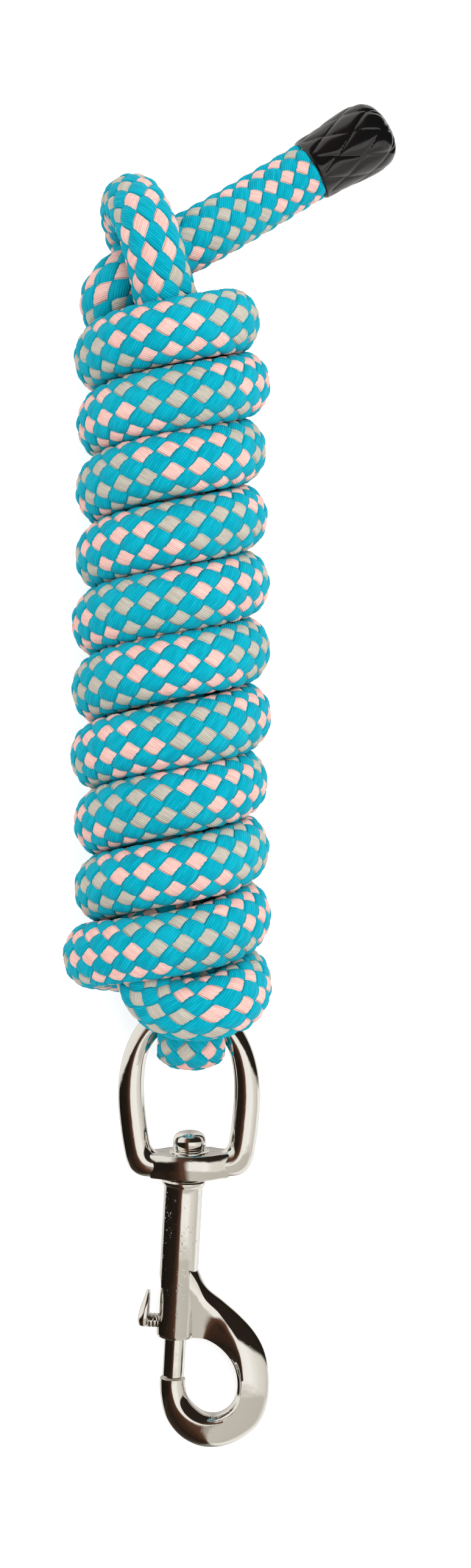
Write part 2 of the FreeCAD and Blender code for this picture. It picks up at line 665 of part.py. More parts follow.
PIECES = {
    "rope_turns": ropeTurns, "core_standing_leg": standingLeg, "core_return_leg": returnLeg,
    "top_bight": freeRopes[0], "rope_tail": freeRopes[1], "core_yarns": coreYarns, "eye_loop": eyeLoop,
    "eye_short_end": shortEnd, "crimp_ferrule": ferrule, "end_cap": endCap, "cap_whipping": whipping,
    "tail_stub": tailStub, "swivel_eye": swivelEye, "swivel_rivet": swivelRivet, "snap_body": snapCasting,
    "bolt": bolt, "thumb_knob": thumbKnob, "bolt_spring": boltSpring,
}
os.makedirs("parts", exist_ok=True)
for name, piece in PIECES.items():
    shape = piece.Shape
    if shape.isNull() or not shape.isValid() or not shape.Solids:
        raise SystemExit("bad shape: " + name)
    box = shape.BoundBox
    print("%-18s solids %d volume %9.1f  x %7.2f %7.2f  y %7.2f %7.2f  z %6.2f %6.2f" % (
        name, len(shape.Solids), shape.Volume, box.XMin, box.XMax, box.YMin, box.YMax, box.ZMin, box.ZMax))
    shape.exportStep("parts/%s.step" % name)
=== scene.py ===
import math
import bpy
import numpy as np
from mathutils import Matrix, Vector


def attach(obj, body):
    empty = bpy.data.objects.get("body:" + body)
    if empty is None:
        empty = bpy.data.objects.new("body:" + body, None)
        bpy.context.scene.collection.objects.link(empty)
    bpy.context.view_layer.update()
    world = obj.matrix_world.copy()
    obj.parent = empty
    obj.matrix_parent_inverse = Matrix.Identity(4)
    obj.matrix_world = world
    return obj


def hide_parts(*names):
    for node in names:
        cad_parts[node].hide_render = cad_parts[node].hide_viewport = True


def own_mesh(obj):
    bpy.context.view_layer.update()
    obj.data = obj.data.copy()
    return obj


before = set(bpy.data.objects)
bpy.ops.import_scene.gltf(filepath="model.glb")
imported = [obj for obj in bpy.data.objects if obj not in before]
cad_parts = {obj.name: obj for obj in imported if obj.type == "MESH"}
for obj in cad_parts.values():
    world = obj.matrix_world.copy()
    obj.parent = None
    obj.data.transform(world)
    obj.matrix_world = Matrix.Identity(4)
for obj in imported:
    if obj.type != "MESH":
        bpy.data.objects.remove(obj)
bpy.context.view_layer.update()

print("frame loaded")


def clamp(value):
    return min(1, max(0, value))


def clearSelection():
    if bpy.context.object and bpy.context.object.mode != "OBJECT":
        bpy.ops.object.mode_set(mode="OBJECT")
    bpy.ops.object.select_all(action="DESELECT")


def editAll(piece):
    # Edit mode on one piece, with all of it selected.
    clearSelection()
    piece.select_set(True)
    bpy.context.view_layer.objects.active = piece
    bpy.ops.object.mode_set(mode="EDIT")
    bpy.ops.mesh.select_all(action="SELECT")


# Camera: straight above the middle of the view. Metres and millimetres of lens.
cameraSet = {"place": (0.01827, -0.0346, 1.2), "lens": 93.7, "sensor": 36.0}

clearSelection()
bpy.ops.object.camera_add(location=cameraSet["place"], rotation=(0, 0, 0))
camera = bpy.context.object
camera.name = "topCamera"
camera.data.lens = cameraSet["lens"]
camera.data.sensor_width = cameraSet["sensor"]
bpy.context.scene.camera = camera
print("camera set")

# The rope's route in millimetres, from its short end in the crimp to its end in the cap.
barMiddle = (5.9, -102.1, 21.0)  # of the swivel eye's bar
capMouth = (39.6, 143.5, 13.05)
eyeRoute = [
    (0.5, -74, 33.0), (2.5, -84, 33.2), (5.4, -93, 33.4), (5.8, -102.6, 32.2), (5.6, -110.6, 28.4),
    (5.4, -113.0, 20.4), (5.4, -109.4, 12.0), (5.6, -101, 9.6), (4.6, -92, 14.0), (1.6, -82, 20.4),
    (0, -70, 22.6), (0, -52, 22.8),
]
bightRoute = [
    (0, 78, 22.8), (0, 97, 22.4), (-3.0, 108, 13.6), (-9.5, 120.5, 10.8), (-12.8, 131.6, 20.5),
    (-10.6, 131.8, 36.5), (-6.3, 122.4, 47.8), (-2.6, 107.5, 46.4), (0, 96.5, 35.0), (0, 82, 33.6),
]
lowestRoute = [
    (0, -50, 33.6), (-3.0, -66, 34.0), (-7.0, -80, 35.0), (-7.6, -91.5, 37.5), (-1.8, -97.3, 42.0),
    (5.8, -98.7, 45.6), (13.6, -97.5, 45.2), (19.5, -95.0, 37.8),
]
tailRoute = [
    (16.5, 98.6, 18.4), (9.5, 98.4, 11.2), (0, 98.2, 9.0), (-9.0, 99.0, 10.6), (-15.6, 100.6, 16.0),
    (-18.6, 103.2, 23.0), (-16.2, 108.2, 28.2), (-8.0, 114.2, 29.2), (5.0, 121.1, 27.0),
    (20.5, 130.9, 19.2), (33.5, 139.5, 14.6), (41.3, 144.5, 12.8), (52.0, 151.0, 11.2),
]
coilSet = {
    "radius": 20.25, "height": 28.1, "turns": 10, "perTurn": 12, "firstRight": -91.0, "pitch": 19.03,
    "behindRise": 7.2,
    # How far each turn stands out at the right and left, and sags in front.
    "rightOut": [0.4, 0.5, 0.0, -0.5, 0.6, 0.3, 0.1, -0.5, -0.9, 0.3, -0.6],
    "leftOut": [3.4, 0.0, 0.2, 1.2, 0.8, 0.8, -0.3, -0.4, -0.7, 0.1],
    "frontSag": [2.0, 0.7, 0.1, 0.4, -0.3, 0.2, 0.3, -0.2, 0.2, 0.0],
}


def coilRoute():
    # One loop of points for each turn, rising more in front than behind.
    frontRise = coilSet["pitch"] - coilSet["behindRise"]
    points = []
    for turn in range(coilSet["turns"]):
        right = coilSet["firstRight"] + turn * coilSet["pitch"]
        for step in range(coilSet["perTurn"]):
            angle = -2 * math.pi * step / coilSet["perTurn"]
            half = 2 * step / coilSet["perTurn"]
            rise = coilSet["behindRise"] * min(half, 1) + frontRise * max(half - 1, 0)
            rightShare = 0.5 + 0.5 * math.cos(angle)
            out = coilSet["rightOut"][turn + (half > 1)] * rightShare
            out += coilSet["leftOut"][turn] * (1 - rightShare)
            across = (coilSet["radius"] + out) * math.cos(angle)
            sag = coilSet["frontSag"][turn] * max(math.sin(angle), 0)
            height = coilSet["height"] + coilSet["radius"] * math.sin(angle)
            points.append((across, right + rise - sag, height))
    return points


def smoothRoute(points):
    # The smooth line that has the route's points as its control points, read back in millimetres.
    curve = bpy.data.curves.new("ropeRoute", "CURVE")
    curve.dimensions = "3D"
    curve.resolution_u = 16
    spline = curve.splines.new("NURBS")
    spline.points.add(len(points) - 1)
    for point, place in zip(spline.points, points):
        point.co = (place[0] / 1000, place[1] / 1000, place[2] / 1000, 1)
    spline.order_u = 3
    spline.use_endpoint_u = True
    holder = bpy.data.objects.new("ropeRoute", curve)
    bpy.context.collection.objects.link(holder)
    bpy.context.view_layer.update()
    mesh = bpy.data.meshes.new_from_object(holder)
    line = np.array([vertex.co[:] for vertex in mesh.vertices]) * 1000
    bpy.data.objects.remove(holder)
    bpy.data.curves.remove(curve)
    bpy.data.meshes.remove(mesh)
    runs = np.linalg.norm(np.diff(line, axis=0), axis=1)
    return line[np.concatenate([[True], runs > 1e-4])]


centreLine = smoothRoute(eyeRoute + bightRoute + lowestRoute + coilRoute() + tailRoute)
along = np.concatenate([[0], np.cumsum(np.linalg.norm(np.diff(centreLine, axis=0), axis=1))])
ropeLength = along[-1]
print("route read, rope length %.0f mm" % ropeLength)

# The rope: round where it is free, flattened where it is wound or squeezed. Millimetres.
ropeSet = {
    "radius": 9.0, "step": 0.6, "straightCell": 6.0, "coilCell": 5.6, "fill": 6.2,
    "coilFlat": 8.75, "coilWide": 9.95, "legFlat": 5.3, "legWide": 10.2,
    "contact": 9.0, "contactGive": 0.5,  # turns give way to each other beyond this half width
    "restAt": 0.2, "restFrom": 0.8,  # pressed flat on what it lies on
    "capSqueeze": 2.0, "capLead": 0.5, "capTaper": 4.0,  # thinner inside the cap
    "eyePast": 5.0, "eyeFrom": -93.0, "eyeBlend": 6.0,  # where it lies against the eye's bar
}

stations = np.linspace(0, ropeLength, int(ropeLength / ropeSet["step"]) + 1)
middle = np.stack([np.interp(stations, along, centreLine[:, k]) for k in range(3)], axis=1)


def unit(vectors):
    return vectors / np.maximum(np.linalg.norm(vectors, axis=1), 1e-9)[:, None]


def nearest(place, low, high):
    # Arc length of the route's point nearest to a place, within a share of the route.
    inside = np.where((stations >= low * ropeLength) & (stations <= high * ropeLength))[0]
    gap = np.linalg.norm(middle[inside] - np.array(place), axis=1)
    return stations[inside[gap.argmin()]]


def carried(heading):
    # A side direction carried along the rope without twist, by two reflections at each step.
    sides = np.zeros_like(middle)
    sides[0] = unit((np.array([1.0, 0, 0]) - heading[0] * heading[0][0])[None, :])[0]
    for k in range(1, len(middle)):
        step = middle[k] - middle[k - 1]
        square = step.dot(step)
        side = sides[k - 1] - step * (2 / square * step.dot(sides[k - 1]))
        forward = heading[k - 1] - step * (2 / square * step.dot(heading[k - 1]))
        change = heading[k] - forward
        if change.dot(change) > 1e-12:
            side = side - change * (2 / change.dot(change) * change.dot(side))
        side -= heading[k] * side.dot(heading[k])
        sides[k] = side / np.linalg.norm(side)
    return sides


heading = unit(np.gradient(middle, axis=0))
sideways = carried(heading)

# Landmarks along the rope: a place beside it, the share of the route to look in, and its half sizes there.
landmarks = {
    "start": (eyeRoute[0], 0, 0.02, "legFlat", "legWide"),
    "eyeEnd": ((4.6, -92, 14), 0, 0.15, "legFlat", "legWide"),
    "legOneTop": ((0, 92, 22.6), 0, 0.3, "legFlat", "legWide"),
    "backLeg": ((-8, 118, 11.5), 0, 0.3, "radius", "radius"),
    "frontLeg": ((-4, 112, 47), 0, 0.35, "radius", "radius"),
    "legTwoTop": ((0, 90, 33.8), 0.15, 0.4, "legFlat", "legWide"),
    "legTwo": ((-2, -64, 34), 0.15, 0.5, "legFlat", "legWide"),
    "lowFront": ((-4, -90, 38), 0.15, 0.5, "coilFlat", "radius"),
    "coilFrom": ((19.4, -94, 36), 0.15, 0.5, "coilFlat", "coilWide"),
    "coilTo": ((0, 98.2, 9.0), 0.85, 1.0, "coilFlat", "coilWide"),
    "tailFrom": ((-14, 109, 28), 0.85, 1.0, "radius", "radius"),
    "inCap": (capMouth, 0.9, 1.0, "radius", "radius"),
}
reached = {name: nearest(*row[:3]) for name, row in landmarks.items()}
inCap = np.clip((stations - reached["inCap"] + ropeSet["capLead"]) / ropeSet["capTaper"], 0, 1)
flatHalf, wideHalf = [
    np.interp(stations, list(reached.values()), [ropeSet[row[k]] for row in landmarks.values()])
    - ropeSet["capSqueeze"] * inCap for k in (3, 4)
]
coilMarks = [reached[name] for name in ("lowFront", "coilFrom", "coilTo", "tailFrom")]
coilShare = np.interp(stations, coilMarks, [0, 1, 1, 0])
cells = ropeSet["straightCell"] + (ropeSet["coilCell"] - ropeSet["straightCell"]) * coilShare
cellCount = np.concatenate([[0], np.cumsum(np.diff(stations) * 2 / (cells[1:] + cells[:-1]))])


def flattening():
    # Which way it is flattened: from the hank's axis in the turns, from the bar in the eye, else upright.
    fromAxis = middle - np.array([0, 0, coilSet["height"]])
    fromAxis[:, 1] = 0
    fromBar = middle - np.array(barMiddle)
    fromBar[:, 0] = 0
    inEye = (stations < reached["eyeEnd"] + ropeSet["eyePast"])[:, None]
    upright = np.tile(np.array([0, 0, 1.0]), (len(middle), 1))
    upright = np.where((fromBar[:, 2:3] < 0) & inEye, -upright, upright)
    eyeShare = np.clip((ropeSet["eyeFrom"] - middle[:, 1]) / ropeSet["eyeBlend"], 0, 1)[:, None] * inEye
    way = unit(fromBar) * eyeShare + upright * (1 - eyeShare)
    way = unit(fromAxis) * coilShare[:, None] + way * (1 - coilShare[:, None])
    return unit(way - heading * (way * heading).sum(axis=1)[:, None])


flatWay = flattening()


def at(values, places):
    if values.ndim == 1:
        return np.interp(places, stations, values)
    return np.stack([np.interp(places, stations, values[:, k]) for k in range(3)], axis=-1)


def ropeSurface(places, angles, radii):
    # Points of the squashed rope, from arc length, angle round it, and radius as if it were round.
    ahead, side, flat = at(heading, places), at(sideways, places), at(flatWay, places)
    up = np.cross(ahead, side)
    offset = radii[..., None] * (np.cos(angles)[..., None] * side + np.sin(angles)[..., None] * up)
    across = np.cross(ahead, flat)
    inFlat = (offset * flat).sum(axis=-1) * at(flatHalf, places) / ropeSet["radius"]
    inWide = (offset * across).sum(axis=-1) * at(wideHalf, places) / ropeSet["radius"]
    over = np.maximum(np.abs(inWide) - ropeSet["contact"], 0)
    inWide = inWide - np.sign(inWide) * over * ropeSet["contactGive"] * at(coilShare, places)
    spots = at(middle, places) + inFlat[..., None] * flat + inWide[..., None] * across
    low = spots[..., 2]
    give = ropeSet["restFrom"] - ropeSet["restAt"]
    pressed = ropeSet["restAt"] + give * np.exp((low - ropeSet["restFrom"]) / give)
    spots[..., 2] = np.where(low < ropeSet["restFrom"], pressed, low)
    return spots


def meshPiece(name, vertices, quads, caps, uvs):
    # A smooth mesh from points in millimetres, quads, end faces and one UV place for each point.
    mesh = bpy.data.meshes.new(name)
    mesh.vertices.add(len(vertices))
    mesh.vertices.foreach_set("co", (vertices / 1000).astype(np.float32).ravel())
    sizes = np.concatenate([np.full(len(quads), 4), [len(cap) for cap in caps]]).astype(np.int32)
    starts = np.concatenate([[0], np.cumsum(sizes)[:-1]]).astype(np.int32)
    loops = np.concatenate([quads.ravel()] + [np.array(cap) for cap in caps]).astype(np.int32)
    mesh.loops.add(len(loops))
    mesh.loops.foreach_set("vertex_index", loops)
    mesh.polygons.add(len(sizes))
    mesh.polygons.foreach_set("loop_start", starts)
    mesh.polygons.foreach_set("use_smooth", np.ones(len(sizes), dtype=bool))
    mesh.update(calc_edges=True)
    layer = mesh.uv_layers.new(name="strand")
    layer.data.foreach_set("uv", uvs[loops].astype(np.float32).ravel())
    piece = bpy.data.objects.new(name, mesh)
    bpy.context.collection.objects.link(piece)
    return piece


def tubeFaces(count, around, base=0):
    # Quads and two end faces of a tube of rings, each the same number of points round.
    row = np.arange(count - 1)[:, None] * around + base
    col = np.arange(around)[None, :]
    after = (col + 1) % around
    quads = np.stack([row + col, row + after, row + around + after, row + around + col], axis=-1)
    first = list(range(base, base + around))
    last = list(range(base + (count - 1) * around, base + count * around))
    return quads.reshape(-1, 4), [first[::-1], last]


# The braid: sixteen flat strands, eight each way, one over one.
strandSet = {
    "count": 8, "perCell": 8, "start": 0.2, "shortOf": 0.6, "slubShift": 0.37,
    "halfWidth": {-1: 2.72, 1: 2.08}, "mid": {-1: 8.29, 1: 8.19},
    "swing": 0.56, "flatTop": 0.22, "crown": 0.48, "crownPower": 2.4, "deep": 1.55,
    # The section: across from edge to edge, and whether the point is on the top.
    "section": [(-1.0, True), (-0.6, True), (0.0, True), (0.6, True), (1.0, True), (0.55, False),
                (-0.55, False)],
}


def strands(name, way, picked):
    # Strands wound one way, 1 right-handed and -1 left-handed. The two ways pass over and under by turns.
    count = int(cellCount[-1] * strandSet["perCell"])
    phase = np.linspace(strandSet["shortOf"], cellCount[-1] - strandSet["shortOf"], count)
    places = np.interp(phase, cellCount, stations)
    mid, halfWidth = strandSet["mid"][way], strandSet["halfWidth"][way]
    slope = math.atan2(2 * math.pi * mid, strandSet["count"] * ropeSet["straightCell"])
    squeeze = at(cells, places) / ropeSet["straightCell"]
    lift = way * np.cos(2 * math.pi * phase)
    top = mid + strandSet["swing"] * lift * (1 + strandSet["flatTop"] * (1 - lift ** 2))
    around = len(strandSet["section"])
    acrossUv = np.array([(across + 1) / 2 for across, onTop in strandSet["section"]])
    vertices, uvs, quads, caps = [], [], [], []
    for order, strand in enumerate(picked):
        angle = strandSet["start"] + 2 * math.pi * (strand + way * phase) / strandSet["count"]
        rows = []
        for across, onTop in strandSet["section"]:
            shift = halfWidth * across
            crowned = strandSet["crown"] * abs(across) ** strandSet["crownPower"]
            radius = top - (crowned if onTop else strandSet["deep"])
            turned = angle + shift * math.cos(slope) / mid
            rows.append(ropeSurface(places - way * shift * math.sin(slope) * squeeze, turned, radius))
        vertices.append(np.stack(rows, axis=1).reshape(-1, 3))
        alongUv = np.repeat(phase + strandSet["slubShift"] * strand, around)
        uvs.append(np.stack([alongUv, np.tile(acrossUv, count)], axis=1))
        faces, ends = tubeFaces(count, around, order * count * around)
        quads.append(faces)
        caps += ends
    return meshPiece(name, np.concatenate(vertices), np.concatenate(quads), caps, np.concatenate(uvs))


def ropeFiller(name, around=16, every=2.0, shortOf=3.0):
    # The core under the strands, so that nothing shows through.
    count = int(ropeLength / every)
    places = np.repeat(np.linspace(shortOf, ropeLength - shortOf, count)[:, None], around, 1)
    angles = np.repeat(np.linspace(0, 2 * math.pi, around, endpoint=False)[None, :], count, 0)
    grid = ropeSurface(places, angles, np.full((count, around), ropeSet["fill"]))
    quads, caps = tubeFaces(count, around)
    return meshPiece(name, grid.reshape(-1, 3), quads, caps, np.zeros((count * around, 2)))


tealOne = strands("tealStrandsOne", -1, range(0, 4))
tealTwo = strands("tealStrandsTwo", -1, range(4, 8))
pinkStrands = strands("pinkStrands", 1, range(0, 4))
greyStrands = strands("greyStrands", 1, range(4, 8))
ropeFill = ropeFiller("ropeFill")
for piece in (tealOne, tealTwo, pinkStrands, greyStrands, ropeFill):
    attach(piece, "rope")
print("braid made")


def turnedPiece(name, rings, around, down=False):
    # Closed solid of revolution from (radius, distance) rings, up the Z axis or down the snap's axis.
    axis = Vector((0, -1, 0)) if down else Vector((0, 0, 1))
    clearSelection()
    bpy.ops.mesh.primitive_circle_add(vertices=around, radius=rings[0][0] / 1000, fill_type="NOTHING",
                                      rotation=(math.pi / 2 if down else 0, 0, 0),
                                      location=axis * rings[0][1] / 1000)
    made = bpy.context.object
    made.name = name
    bpy.ops.object.mode_set(mode="EDIT")
    bpy.ops.mesh.select_all(action="SELECT")
    for before, ring in zip(rings, rings[1:]):
        step = tuple(axis * (ring[1] - before[1]) / 1000)
        bpy.ops.mesh.extrude_region_move(TRANSFORM_OT_translate={"value": step})
        size = ring[0] / before[0]
        bpy.ops.transform.resize(value=(size, 1, size) if down else (size, size, 1),
                                 center_override=axis * ring[1] / 1000)
    bpy.ops.object.mode_set(mode="OBJECT")
    bpy.ops.object.transform_apply(location=True, rotation=True, scale=True)
    editAll(made)
    bpy.ops.mesh.fill_holes(sides=0)
    bpy.ops.mesh.normals_make_consistent(inside=False)
    bpy.ops.object.mode_set(mode="OBJECT")
    return made


# End cap: a moulded bulb with a plaited relief. Its own frame runs along +Z from the mouth.
capSet = {
    "yaw": 58.8, "droop": 7.5, "around": 224, "rings": 112, "smoothing": 12,
    # Radius and height, from inside the mouth over its lip to the rounded end.
    "profile": [(7.6, 3.0), (7.9, 0.35), (8.5, 0.0), (9.05, 0.15), (9.3, 0.9), (9.65, 6), (10.1, 12),
                (10.45, 17), (10.45, 20), (9.85, 22.6), (8.3, 24.8), (5.9, 26.2), (3.0, 26.85), (0.6, 27.0)],
    "relief": 0.62, "bands": 8, "bandRise": 15.0, "bandTurn": 0.25, "pillow": 5, "duck": 0.55, "duckPower": 3,
    "insideTo": (8.6, 3.4), "lipFade": (1.0, 1.5), "poleFade": (2.0, 3.0),  # where the relief is left out
    "roundFrom": 20.0, "roundOver": 7.0, "sideFull": 8.0,  # where the relief turns to stand along the axis
}


def capRings():
    # Rings evenly spaced along the smoothed profile.
    given = np.array(capSet["profile"])
    length = np.concatenate([[0], np.cumsum(np.hypot(*np.diff(given, axis=0).T))])
    even = np.linspace(0, length[-1], capSet["rings"])
    rings = np.stack([np.interp(even, length, given[:, k]) for k in (0, 1)], axis=1)
    for _ in range(capSet["smoothing"]):
        rings[1:-1] = (rings[:-2] + 2 * rings[1:-1] + rings[2:]) / 4
    return rings.tolist()


def plaitRelief(angle, height):
    # Height of crossing bands: each is a pillow across, and ducks under its neighbours at both ends.
    turns = capSet["bands"] * angle / (2 * math.pi)
    a, b = turns + height / capSet["bandRise"], turns - height / capSet["bandRise"]
    acrossA, acrossB = 2 * (a % 1) - 1, 2 * (b % 1) - 1
    if (math.floor(a) + math.floor(b)) % 2:
        acrossA, acrossB = acrossB, acrossA
    pillow = 1 - abs(acrossA) ** capSet["pillow"]
    duck = 1 - capSet["duck"] * abs(acrossB) ** capSet["duckPower"]
    return capSet["relief"] * (pillow * duck - 1)


def raiseRelief(cap):
    (lipFrom, lipOver), (poleFrom, poleOver) = capSet["lipFade"], capSet["poleFade"]
    for vertex in cap.data.vertices:
        x, y, z = [1000 * value for value in vertex.co]
        wide = math.hypot(x, y)
        if wide < capSet["insideTo"][0] and z < capSet["insideTo"][1]:
            continue
        push = plaitRelief(math.atan2(y, x) + capSet["bandTurn"], z)
        push *= clamp((z - lipFrom) / lipOver) * clamp((wide - poleFrom) / poleOver)
        outward = Vector((x, y, 0)).normalized() * min(1, wide / capSet["sideFull"])
        outward.z = max(0, (z - capSet["roundFrom"]) / capSet["roundOver"])
        vertex.co += outward.normalized() * push / 1000


endCap = turnedPiece("plaitedCap", capRings(), capSet["around"])
raiseRelief(endCap)
capTurn = Matrix.Rotation(-math.radians(capSet["yaw"]), 4, "Z")
capTurn = capTurn @ Matrix.Rotation(-math.radians(capSet["droop"] + 90), 4, "X")
endCap.data.transform(Matrix.Translation(Vector(capMouth) / 1000) @ capTurn)
bpy.ops.object.shade_smooth()
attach(endCap, "rope")
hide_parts("end_cap")
print("end cap made")

# Bolt snap, in millimetres. Its own frame starts in the middle of the eye's bar, with +Y towards the rope.
snapFrame = Matrix((
    (0.99849, 0.05446, -0.00732, barMiddle[0]), (-0.05495, 0.98958, -0.13308, barMiddle[1]),
    (0, 0.13328, 0.99108, barMiddle[2]), (0, 0, 0, 1),
))


def smoothThrough(points, perSpan):
    # A curve through given points, with an even number of steps between each two.
    given = np.array(points, dtype=float)
    ends = np.concatenate([[2 * given[0] - given[1]], given, [2 * given[-1] - given[-2]]])
    steps = np.linspace(0, 1, perSpan, endpoint=False)[:, None]
    spans = []
    for a, b, c, d in zip(ends, ends[1:], ends[2:], ends[3:]):
        spans.append(0.5 * (2 * b + (c - a) * steps + (2 * a - 5 * b + 4 * c - d) * steps ** 2
                            + (3 * b - a - 3 * c + d) * steps ** 3))
    return np.concatenate(spans + [given[-1:]])


def sectionMesh(name, sections, closed=False):
    # Joins sections, each the same number of points round, into one skin.
    count, around = sections.shape[:2]
    quads, caps = tubeFaces(count, around)
    if closed:
        last = np.arange(around) + (count - 1) * around
        first = np.arange(around)
        joint = np.stack([last, np.roll(last, -1), np.roll(first, -1), first], axis=-1)
        quads, caps = np.concatenate([quads, joint]), []
    return meshPiece(name, sections.reshape(-1, 3), quads, caps, np.zeros((count * around, 2)))


def roundedBox(turn, power):
    # A point round an oval with flattened sides, from -1 to 1 across and up. The power is 1 for a circle.
    angle = 2 * math.pi * turn
    return [math.copysign(abs(value) ** power, value) for value in (math.cos(angle), math.sin(angle))]


def finishMetal(piece, sharp, lean=0.0):
    # Into the snap's place, faces outwards, smooth but for edges sharper than an angle.
    matrix = snapFrame.copy()
    matrix.translation = matrix.translation / 1000
    pivot = Matrix.Translation((0, -eyeSet["leanAt"] / 1000, 0))
    piece.data.transform(matrix @ pivot @ Matrix.Rotation(math.radians(lean), 4, "Z") @ pivot.inverted())
    editAll(piece)
    bpy.ops.mesh.remove_doubles(threshold=0.000002)
    bpy.ops.mesh.normals_make_consistent(inside=False)
    bpy.ops.object.mode_set(mode="OBJECT")
    bpy.ops.object.shade_smooth_by_angle(angle=math.radians(sharp))


hookSet = {
    # Pairs along the hook from the barrel round to the tip: outer edge, inner edge, how far across its ridge
    # lies from the inner edge, and its half height there.
    "pairs": [
        ((3.0, 70.0), (3.0, 94.6), 0.85, 4.7), ((5.4, 74.0), (5.2, 94.6), 0.84, 3.95),
        ((8.3, 79.4), (7.2, 94.65), 0.80, 3.35), ((13.2, 83.2), (9.0, 94.9), 0.74, 3.2),
        ((18.2, 87.2), (11.6, 96.0), 0.62, 3.85), ((22.6, 91.6), (14.1, 97.8), 0.47, 4.25),
        ((25.7, 96.5), (16.4, 100.4), 0.32, 4.3), ((27.4, 102.0), (18.0, 103.6), 0.20, 4.3),
        ((28.1, 108.0), (18.8, 107.4), 0.13, 4.3), ((27.6, 114.4), (18.6, 111.8), 0.11, 4.3),
        ((25.3, 120.1), (17.0, 115.0), 0.12, 4.3), ((20.8, 124.3), (14.5, 116.9), 0.15, 4.3),
        ((15.3, 126.9), (12.2, 117.5), 0.19, 4.25), ((9.6, 127.3), (9.6, 117.1), 0.25, 4.15),
        ((4.7, 125.6), (7.4, 115.8), 0.32, 4.05), ((0.9, 122.5), (5.5, 114.0), 0.38, 3.95),
        ((-1.9, 118.2), (4.2, 111.9), 0.42, 3.85), ((-3.3, 113.2), (3.7, 109.8), 0.46, 3.8),
        ((-3.75, 109.4), (3.55, 108.6), 0.48, 3.75), ((-3.8, 107.2), (3.5, 107.2), 0.48, 3.75),
    ],
    "perSpan": 7, "sharp": 50,
    # Half the section: the inner edge's corner, the rise to the ridge, and the long outer face.
    "innerEdge": 0.62, "corner": [(0.0, 0.5), (0.012, 0.86), (0.07, 1.0)], "rise": [0.33, 0.66],
    "face": [0, 0.12, 0.26, 0.42, 0.58, 0.72, 0.84, 0.93, 0.98], "slant": 0.30, "belly": 0.16,
    "arch": 2.4, "archSoft": 0.75, "nearRidge": 0.1, "apart": 0.005,
    # The tip turns round in section, left of and below this place.
    "tip": (14, 100), "tipFade": (0.2, 0.28), "tipEdge": 0.45, "tipCorner": 0.04, "tipRise": 0.3,
}


def hookHalf(share, high, tip):
    # Half of the section as (share across, height), from the inner edge to the outer one.
    edge = hookSet["innerEdge"] * (1 - tip) + hookSet["tipEdge"] * tip
    half = [(across, edge * rise * high) for across, rise in hookSet["corner"]]
    cornerEnd = half[-1][0]
    half[-1] = (cornerEnd - hookSet["tipCorner"] * tip, half[-1][1])
    for q in hookSet["rise"]:
        spot = cornerEnd + (share - cornerEnd) * q if share > hookSet["nearRidge"] else share * q
        risen = math.sin(q * math.pi / 2) ** (1 - hookSet["tipRise"] * tip)
        half.append((max(spot, half[-1][0] + hookSet["apart"]), high * (edge + (1 - edge) * risen)))
    for q in hookSet["face"]:
        slanted = 1 - hookSet["slant"] * q - hookSet["belly"] * q ** 2
        arched = math.sqrt(max(0.0, 1 - q ** hookSet["arch"]))
        level = slanted * arched ** hookSet["archSoft"] * (1 - tip) + arched * tip
        half.append((share + (1 - share) * q, high * level))
    return half + [(1.0, 0.0)]


def hookSections():
    pairs = [(outEdge, inEdge, (share, high)) for outEdge, inEdge, share, high in hookSet["pairs"]]
    outer, inner, ridge = [smoothThrough(given, hookSet["perSpan"]) for given in zip(*pairs)]
    rows = []
    for out, into, (share, high) in zip(outer, inner, ridge):
        atTip = out[0] < hookSet["tip"][0] and out[1] > hookSet["tip"][1]
        tip = clamp((share - hookSet["tipFade"][0]) / hookSet["tipFade"][1]) if atTip else 0
        half = hookHalf(share, high, tip)
        loop = half + [(spot, -level) for spot, level in reversed(half[:-1])]
        places = [(into + (out - into) * spot, level) for spot, level in loop]
        rows.append([(place[0], -place[1], level) for place, level in places])
    return np.array(rows)


hook = sectionMesh("snapHook", hookSections())

barrelSet = {
    # Radius and distance down the snap: up in the bore, over the collar and down to the lower mouth.
    "profile": [(3.3, 48.2), (3.3, 47.35), (5.6, 47.35), (6.1, 47.6), (6.25, 48.1), (6.25, 48.7),
                (6.05, 49.2), (5.6, 49.55), (5.5, 50.3), (5.55, 52.0), (5.55, 93.6), (5.4, 94.3),
                (4.95, 94.7), (3.75, 94.7), (3.3, 94.4), (3.3, 88.0)],
    "around": 72, "sharp": 40,
    "slotHalf": 2.45, "slotTop": 79.0, "slotLow": 90.4, "slotAt": 5.5, "slotDeep": 5.0, "slotRound": 0.98,
}


def slotCutter():
    # A block with round ends, for the slot that the thumb knob's stem slides in.
    half, top, low, out, deep = [barrelSet[name] / 1000 for name in
                                 ("slotHalf", "slotTop", "slotLow", "slotAt", "slotDeep")]
    clearSelection()
    bpy.ops.mesh.primitive_cube_add(size=1, location=(-out, -(top + low) / 2, 0),
                                    scale=(deep, low - top + 2 * half, 2 * half))
    cutter = bpy.context.object
    bpy.ops.object.transform_apply(location=True, rotation=True, scale=True)
    weights = cutter.data.attributes.new("bevel_weight_edge", "FLOAT", "EDGE")
    for edge in cutter.data.edges:
        first, second = [cutter.data.vertices[index].co for index in edge.vertices]
        weights.data[edge.index].value = 1.0 if abs(first.x - second.x) > deep / 2 else 0.0
    rounding = cutter.modifiers.new("rounding", "BEVEL")
    rounding.width = half * barrelSet["slotRound"]
    rounding.segments = 8
    rounding.limit_method = "WEIGHT"
    bpy.ops.object.modifier_apply(modifier=rounding.name)
    return cutter


